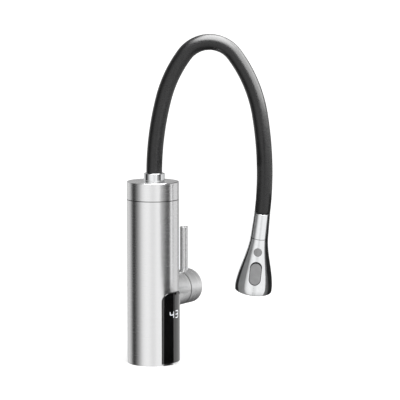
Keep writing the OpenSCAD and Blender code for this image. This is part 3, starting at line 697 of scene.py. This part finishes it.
# The bars that the two digits need: start and end in units of a digit's width and half its height
BARS = {
    "a": ((0, 2), (1, 2)),
    "b": ((1, 2), (1, 1)),
    "c": ((1, 1), (1, 0)),
    "d": ((0, 0), (1, 0)),
    "f": ((0, 2), (0, 1)),
    "g": ((0, 1), (1, 1)),
}
DIGITS = {"4": "bcfg", "3": "abcdg"}
DIGIT_W = 5.6 * MM
DIGIT_H = 7.8 * MM
BAR_T = 0.95 * MM
BAR_GAP = 0.15 * MM
BAR_BLUNT = 0.02 * MM
BAR_PROUD = 0.04 * MM
DIGIT_Z = 54.7 * MM
DIGIT_X = {"4": -8.6 * MM, "3": 0.4 * MM}


def bar(mesh, start, end, left):
    """One pointed bar on the lens, from start to end. Left is the digit's own place round the column."""
    steps = 10
    along = Vector(end) - Vector(start)
    length = along.length
    across = Vector((-along.y, along.x)) / length
    pairs = []
    for k in range(steps + 1):
        reach = BAR_GAP + (length - 2 * BAR_GAP) * k / steps
        wide = min(BAR_T / 2, reach, length - reach) + BAR_BLUNT
        pair = []
        for side in (-1, 1):
            flat = Vector(start) + along * (reach / length) + across * wide * side
            turn = (left + flat.x) / LENS_R
            radius = LENS_R + BAR_PROUD
            pair.append(mesh.verts.new((radius * sin(turn), -radius * cos(turn), DIGIT_Z + flat.y)))
        pairs.append(pair)
    for a, b in zip(pairs, pairs[1:]):
        mesh.faces.new((a[0], b[0], b[1], a[1]))


def digit(name, figure, material):
    mesh = bmesh.new()
    for key in DIGITS[figure]:
        (x0, y0), (x1, y1) = BARS[key]
        start = (x0 * DIGIT_W, y0 * DIGIT_H / 2)
        end = (x1 * DIGIT_W, y1 * DIGIT_H / 2)
        bar(mesh, start, end, DIGIT_X[figure])
    bmesh.ops.recalc_face_normals(mesh, faces=mesh.faces)
    for face in mesh.faces:
        if face.normal.y > 0:
            face.normal_flip()
    data = bpy.data.meshes.new(name)
    mesh.to_mesh(data)
    mesh.free()
    obj = bpy.data.objects.new(name, data)
    bpy.context.scene.collection.objects.link(obj)
    wear(obj, material)
    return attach(obj, "column")


# Camera, floor and lamps


CAMERA_TURN = radians(56)
CAMERA_RISE = radians(6.89)
CAMERA_REACH = 2.525
# The focal length and the picture's width, both in the photo's pixels
CAMERA_FOCUS = 2192
PICTURE_W = 400
AIM_RIGHT = 54.3 * MM
AIM_UP = 189.1 * MM
RIGHT = Vector((cos(CAMERA_TURN), -sin(CAMERA_TURN), 0))
AWAY = Vector((sin(CAMERA_TURN), cos(CAMERA_TURN), 0))
UP = Vector((0, 0, 1))

FLOOR_HALF = 40
FLOOR_DROP = 0.3 * MM
# How much the floor glows for the camera, and how bright the room is for plain surfaces
FLOOR_GLOW = 0.45
WORLD_LEVEL = 0.62


def camera():
    data = bpy.data.cameras.new("camera")
    data.sensor_width = 36
    data.lens = CAMERA_FOCUS / PICTURE_W * data.sensor_width
    data.clip_end = 2 * FLOOR_HALF
    eye = bpy.data.objects.new("camera", data)
    bpy.context.scene.collection.objects.link(eye)
    look = AWAY * cos(CAMERA_RISE) - UP * sin(CAMERA_RISE)
    aim = AIM_RIGHT * RIGHT + AIM_UP * UP
    up = RIGHT.cross(look)
    turn = Matrix((RIGHT, up, -look)).transposed().to_4x4()
    eye.matrix_world = Matrix.Translation(aim - CAMERA_REACH * look) @ turn
    bpy.context.scene.camera = eye


def floor():
    """A pale, even floor that shiny surfaces don't see."""
    corners = [(x * FLOOR_HALF, y * FLOOR_HALF, 0) for x, y in ((-1, -1), (1, -1), (1, 1), (-1, 1))]
    ground = new_object("floor", corners, [(0, 1, 2, 3)])
    ground.location.z = -FLOOR_DROP
    pale = Nodes("pale_floor", (0.86, 0.86, 0.86), 0.0, 0.9)
    cloud = pale.noise((3, 3, 3), detail=2)
    pale.tint(pale.spread(cloud, 0, 1), (0.85, 0.85, 0.85), (0.87, 0.87, 0.87))
    path = pale.add("ShaderNodeLightPath")
    glow = pale.add("ShaderNodeMath", operation="MULTIPLY")
    pale.link(path.outputs["Is Camera Ray"], glow.inputs[0])
    glow.inputs[1].default_value = FLOOR_GLOW
    pale.shader.inputs["Emission Color"].default_value = (1, 1, 1, 1)
    pale.link(glow.outputs[0], pale.shader.inputs["Emission Strength"])
    wear(ground, pale.material)
    ground.visible_glossy = False


# What shiny surfaces see of the studio: degrees right of the photo's view, and how light it is there
STUDIO_ROUND = [
    (-180, 0.42), (-166, 0.68), (-128, 0.7), (-116, 0.52), (-106, 0.2), (-98, 0.03), (-88, 0.03),
    (-80, 0.12), (-70, 0.28), (-60, 0.5), (-46, 0.88), (-30, 1.0), (-18, 1.0), (-4, 0.84), (6, 0.84),
    (22, 1.0), (60, 0.97), (84, 0.97), (110, 0.92), (128, 0.6), (144, 0.4), (160, 0.36), (180, 0.42),
]
# The same from straight down to straight up: sine of the height, and how much of that light is left
STUDIO_RISE = [(-1, 0.5), (-0.7, 0.85), (-0.5, 1.0), (0.08, 1.0), (0.3, 0.78), (0.6, 0.65), (1, 0.5)]


def ramp(tree, source, low, high, stops):
    """A ramp node over low..high, through stops of (value, level)."""
    scale = tree.nodes.new("ShaderNodeMapRange")
    scale.inputs["From Min"].default_value = low
    scale.inputs["From Max"].default_value = high
    tree.links.new(source, scale.inputs["Value"])
    node = tree.nodes.new("ShaderNodeValToRGB")
    elements = node.color_ramp.elements
    while len(elements) < len(stops):
        elements.new(0.5)
    for element, (value, level) in zip(elements, stops):
        element.position = (value - low) / (high - low)
        element.color = (level, level, level, 1)
    tree.links.new(scale.outputs[0], node.inputs["Fac"])
    return node.outputs["Color"]


def world():
    """An even pale room, white to the camera. Shiny surfaces see a studio's light and dark sides in it."""
    room = bpy.data.worlds.new("room")
    bpy.context.scene.world = room
    room.use_nodes = True
    tree = room.node_tree
    tree.nodes.clear()

    def calc(operation, *values):
        node = tree.nodes.new("ShaderNodeMath")
        node.operation = operation
        for socket, value in zip(node.inputs, values):
            if isinstance(value, float):
                socket.default_value = value
            else:
                tree.links.new(value, socket)
        return node.outputs[0]

    def part(direction):
        node = tree.nodes.new("ShaderNodeVectorMath")
        node.operation = "DOT_PRODUCT"
        tree.links.new(place.outputs["Generated"], node.inputs[0])
        node.inputs[1].default_value = direction
        return node.outputs["Value"]

    place = tree.nodes.new("ShaderNodeTexCoord")
    path = tree.nodes.new("ShaderNodeLightPath")
    turn = calc("MULTIPLY", calc("ARCTAN2", part(RIGHT), part(-AWAY)), 180 / pi)
    round_level = ramp(tree, turn, -180, 180, STUDIO_ROUND)
    rise_level = ramp(tree, part(UP), -1, 1, STUDIO_RISE)
    studio = calc("MULTIPLY", round_level, rise_level)
    white = calc("MAXIMUM", path.outputs["Is Camera Ray"], path.outputs["Is Transmission Ray"])
    plain = calc("MULTIPLY_ADD", white, 1 - WORLD_LEVEL, WORLD_LEVEL)
    shiny = path.outputs["Is Glossy Ray"]
    level = calc("MULTIPLY_ADD", shiny, calc("SUBTRACT", studio, plain), plain)
    background = tree.nodes.new("ShaderNodeBackground")
    background.inputs["Color"].default_value = (1, 1, 1, 1)
    tree.links.new(level, background.inputs["Strength"])
    output = tree.nodes.new("ShaderNodeOutputWorld")
    tree.links.new(background.outputs[0], output.inputs["Surface"])


def studio_way(angle, rise):
    """The direction at these degrees right of the line to the photo's camera, and above level."""
    a, e = radians(angle), radians(rise)
    return (-cos(a) * AWAY + sin(a) * RIGHT) * cos(e) + UP * sin(e)


def sun(name, angle, rise, strength, spread):
    data = bpy.data.lights.new(name, "SUN")
    data.energy = strength
    data.angle = radians(spread)
    lamp = bpy.data.objects.new(name, data)
    lamp.visible_glossy = False
    bpy.context.scene.collection.objects.link(lamp)
    lamp.rotation_euler = studio_way(angle, rise).to_track_quat("Z", "Y").to_euler()


# The place that the softboxes aim at, near the middle of the faucet
LAMP_AIM = Vector((0.04, -0.05, 0.2))


def softbox(name, angle, rise, reach, size, power, lit=None):
    """A square lamp that only draws highlights, on every object or on the given one alone."""
    data = bpy.data.lights.new(name, "AREA")
    data.size = size
    data.energy = power
    lamp = bpy.data.objects.new(name, data)
    lamp.visible_diffuse = False
    bpy.context.scene.collection.objects.link(lamp)
    direction = studio_way(angle, rise)
    lamp.location = LAMP_AIM + reach * direction
    lamp.rotation_euler = direction.to_track_quat("Z", "Y").to_euler()
    if lit:
        only = bpy.data.collections.new(name + "_lights")
        only.objects.link(lit)
        lamp.light_linking.receiver_collection = only


BLACK_CLOTH = (0.02, 0.02, 0.02)


def flag(name, corners, tones, one_sided=False, glow=False):
    """A card that only shiny surfaces see, as studios use to draw dark or pale lines on metal.

    Its corners are in metres right of the column's axis, away from the photo's camera, and up. The tones
    run from the side between its last and first corner to the side across. A one-sided card is clear from
    its back. A glowing card shows its tones as they are, also in the shade.
    """
    card = new_object(name, [x * RIGHT + y * AWAY + z * UP for x, y, z in corners], [(0, 1, 2, 3)])
    chart = card.data.uv_layers.new(name="along")
    for loop, end in enumerate((0, 1, 1, 0)):
        chart.data[loop].uv = (end, 0)
    cloth = Nodes(name + "_cloth", BLACK_CLOTH, 0.0, 1.0)
    place = cloth.add("ShaderNodeTexCoord")
    along = cloth.add("ShaderNodeSeparateXYZ")
    cloth.link(place.outputs["UV"], along.inputs[0])
    target = cloth.shader.inputs["Emission Color" if glow else "Base Color"]
    cloth.link(ramp(cloth.tree, along.outputs[0], 0, 1, tones), target)
    cloth.set(cloth.shader, {"Emission Strength": float(glow)})
    if one_sided:
        side = cloth.add("ShaderNodeNewGeometry")
        front = cloth.add("ShaderNodeMath", operation="SUBTRACT")
        front.inputs[0].default_value = 1
        cloth.link(side.outputs["Backfacing"], front.inputs[1])
        cloth.link(front.outputs[0], cloth.shader.inputs["Alpha"])
    wear(card, cloth.material)
    card.visible_camera = False
    card.visible_diffuse = False
    card.visible_shadow = False


def upright(start, end, bottom, top):
    """The four corners of an upright card between two places on the floor."""
    return (*start, bottom), (*end, bottom), (*end, top), (*start, top)


# The scene


camera()
floor()
world()
sun("key", angle=40, rise=60, strength=0.9, spread=60)
softbox("overhead", angle=30, rise=76, reach=1.3, size=1.5, power=50)
flag(
    "column_flag",
    ((0.1123, -0.2, 0.072), (0.1146, -0.03, 0.072), (0.1355, -0.03, 0.26), (0.1332, -0.2, 0.26)),
    [(0, 0.85), (0.21, 0.74), (0.37, 0.6), (0.48, 0.47), (0.6, 0.33), (0.69, 0.2), (0.77, 0.13),
     (0.86, 0.11), (0.93, 0.2), (1, 0.5)],
)
flag(
    "lens_flag",
    ((0.0966, -0.112, -0.08), (0.098, -0.005, -0.08), (0.115, -0.005, 0.072), (0.1135, -0.112, 0.072)),
    [(0, 0.02), (1, 0.02)],
)
flag(
    "valve_flag",
    ((0.0, 0.08, 0.01), (0.5, 0.08, 0.01), (0.5, 0.34, 0.01), (0.0, 0.34, 0.01)),
    [(0, 0.03), (0.15, 0.1), (0.24, 0.22), (0.35, 0.42), (0.6, 0.7), (1, 0.9)],
)
flag(
    "head_flag_right",
    ((0.148, 0.005, 0.04), (0.14, 0.056, 0.04), (0.156, 0.02, 0.19), (0.156, -0.002, 0.19)),
    [(0, 0.35), (0.3, 0.2), (0.45, 0.02), (1, 0.02)],
)
HEAD_CORNER = (0.0705, 0.022)
flag(
    "head_flag_left",
    upright((0.0767, -0.01), HEAD_CORNER, 0.03, 0.2),
    [(0, 0.34), (0.4, 0.31), (1, 0.26)],
    one_sided=True,
)
flag(
    "head_flag_back",
    upright(HEAD_CORNER, (0.113, 0.06), 0.06, 0.2),
    [(0, 0.26), (0.1, 0.01), (0.34, 0.01), (0.43, 0.8), (0.5, 1)],
    one_sided=True,
)
flag(
    "lens_card",
    upright((0.0302, 0.006), (0.0345, -0.0155), -0.02, 0.08),
    [(0, 0.95), (1, 0.85)],
    one_sided=True,
    glow=True,
)
flag(
    "column_card",
    upright((0.047, 0.012), (0.052, -0.012), 0.08, 0.215),
    [(0, 0.7), (1, 0.7)],
    one_sided=True,
    glow=True,
)
flag(
    "arch_flag",
    ((0.03, -0.05, 0.225), (0.105, -0.05, 0.225), (0.105, 0.05, 0.225), (0.03, 0.05, 0.225)),
    [(0, 0.03), (1, 0.03)],
)

steel_upright = brushed_steel("steel_brushed_upright", "Z")
steel_level = brushed_steel("steel_brushed_level", "X", VALVE_JOINT)
mirror = chrome()
brass = plain_metal("turned_brass", (0.62, 0.47, 0.24), (0.74, 0.57, 0.31), 0.3)
steel = plain_metal("plain_steel", (0.5, 0.51, 0.52), (0.62, 0.62, 0.64), 0.34)
rubber = moulded(
    "black_silicone", (0.008, 0.008, 0.0085), (0.013, 0.013, 0.0135), 0.3, grain=900, depth=0.02
)
black = moulded("black_plastic", (0.014, 0.014, 0.015), (0.024, 0.024, 0.026), 0.5)
grey_mat = moulded("grey_silicone", (0.05, 0.05, 0.053), (0.075, 0.075, 0.08), 0.55)
button_grey = moulded(
    "button_satin", (0.32, 0.32, 0.325), (0.37, 0.37, 0.375), 0.42, grain=2600, depth=0.1
)
ivory = moulded("ivory_plastic", (0.68, 0.65, 0.57), (0.76, 0.73, 0.66), 0.5)
ceramic = moulded("white_ceramic", (0.84, 0.84, 0.82), (0.9, 0.9, 0.88), 0.18, grain=500, depth=0.02)
board = moulded("board_green", (0.02, 0.12, 0.05), (0.03, 0.18, 0.08), 0.35)
relay = moulded("relay_blue", (0.03, 0.08, 0.3), (0.05, 0.11, 0.38), 0.45)
cutout = moulded("cutout_brown", (0.09, 0.05, 0.03), (0.13, 0.08, 0.05), 0.5)
grey = moulded("grey_plastic", (0.13, 0.13, 0.135), (0.18, 0.18, 0.185), 0.5)

paint_nodes(steel_upright, "outer_shell", "top_cap", "lever_rod")
paint_nodes(steel_level, "valve_housing", "lever_hub")
paint_nodes(mirror, "collar_nut")
paint_nodes(brass, "inlet_socket", "riser_pipe", "valve_body", "cartridge_nut", "spindle")
paint_nodes(brass, "crossover_pipe", "temperature_probe")
paint_nodes(brass, "outlet_nipple", "spout_fitting", "hose_end_fitting")
paint_nodes(steel, "base_screws", "tank_screws", "grub_screw", "swivel_clip", "rocker_pin")
paint_nodes(steel, "tank_shell", "tank_lid", "heating_element", "spray_plate")
paint_nodes(rubber, "base_gasket", "cord_grommet", "cartridge_seal", "tank_seal", "swivel_seals")
paint_nodes(black, "base_plate", "display_frame", "led_display", "joining_ring", "head_core")
paint_nodes(ivory, "flow_sensor_body", "diverter_spool", "chassis", "cartridge_body")
paint_nodes(grey, "aerator", "flow_float")
paint_nodes(ceramic, "fixed_disc", "moving_disc")
paint_nodes(board, "control_board", "display_board", "reed_switch", "terminal_block")
paint_nodes(relay, "power_relay")
paint_nodes(cutout, "thermal_cutout")
paint_nodes(grey_mat, "nozzle_mat")

coil_r = HOSE_R - SKIN_WALL - TUBE_GAP
bore_r = coil_r - COIL_WALL - TUBE_GAP
hose_skin = hollow_tube("hose_skin", "hose_sleeve", HOSE_R, SKIN_WALL, SKIN_SIDES, rubber)
softbox("crown", angle=75, rise=58, reach=1.3, size=2.9, power=215, lit=hose_skin)
hollow_tube("hose_coil", "hose_core", coil_r, COIL_WALL, INNER_SIDES, steel)
hollow_tube("hose_bore", "hose_liner", bore_r, BORE_WALL, INNER_SIDES, ivory)

head_bell = wear(bell(), mirror)
# Painted shade: the walls of the keys' openings are dark, as the gaps round the keys would be in shade
paint_shade_in_openings(head_bell, black)
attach(head_bell, "head")
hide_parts("head_shell")
head_neck = wear(neck(), mirror)
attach(head_neck, "neck")
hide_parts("head_neck")
pause = wear(head_key("pause", circle(PAUSE_R, 72), PAUSE_Z, PAUSE_T), button_grey)
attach(pause, "pause")
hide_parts("pause_button")
wear(pressed_spring(), steel)
rocker_outline = [(y, z + ROCKER_TRIM / 2) for y, z in stadium(ROCKER_L - ROCKER_TRIM, ROCKER_W)]
rocker = wear(tilt_rocker(head_key("rocker", rocker_outline, ROCKER_Z, ROCKER_T)), button_grey)
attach(rocker, "rocker")
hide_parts("mode_rocker")

front = wear(lens(), lens_glass())
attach(front, "column")
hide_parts("display_panel")
seam = wear(lathe("seam", SEAM, Matrix(), 160), rubber)
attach(seam, "column")
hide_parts("seam_seal")
glow = lit_digit()
digit("digit_left", "4", glow)
digit("digit_right", "3", glow)

bpy.context.scene.view_settings.view_transform = "Standard"
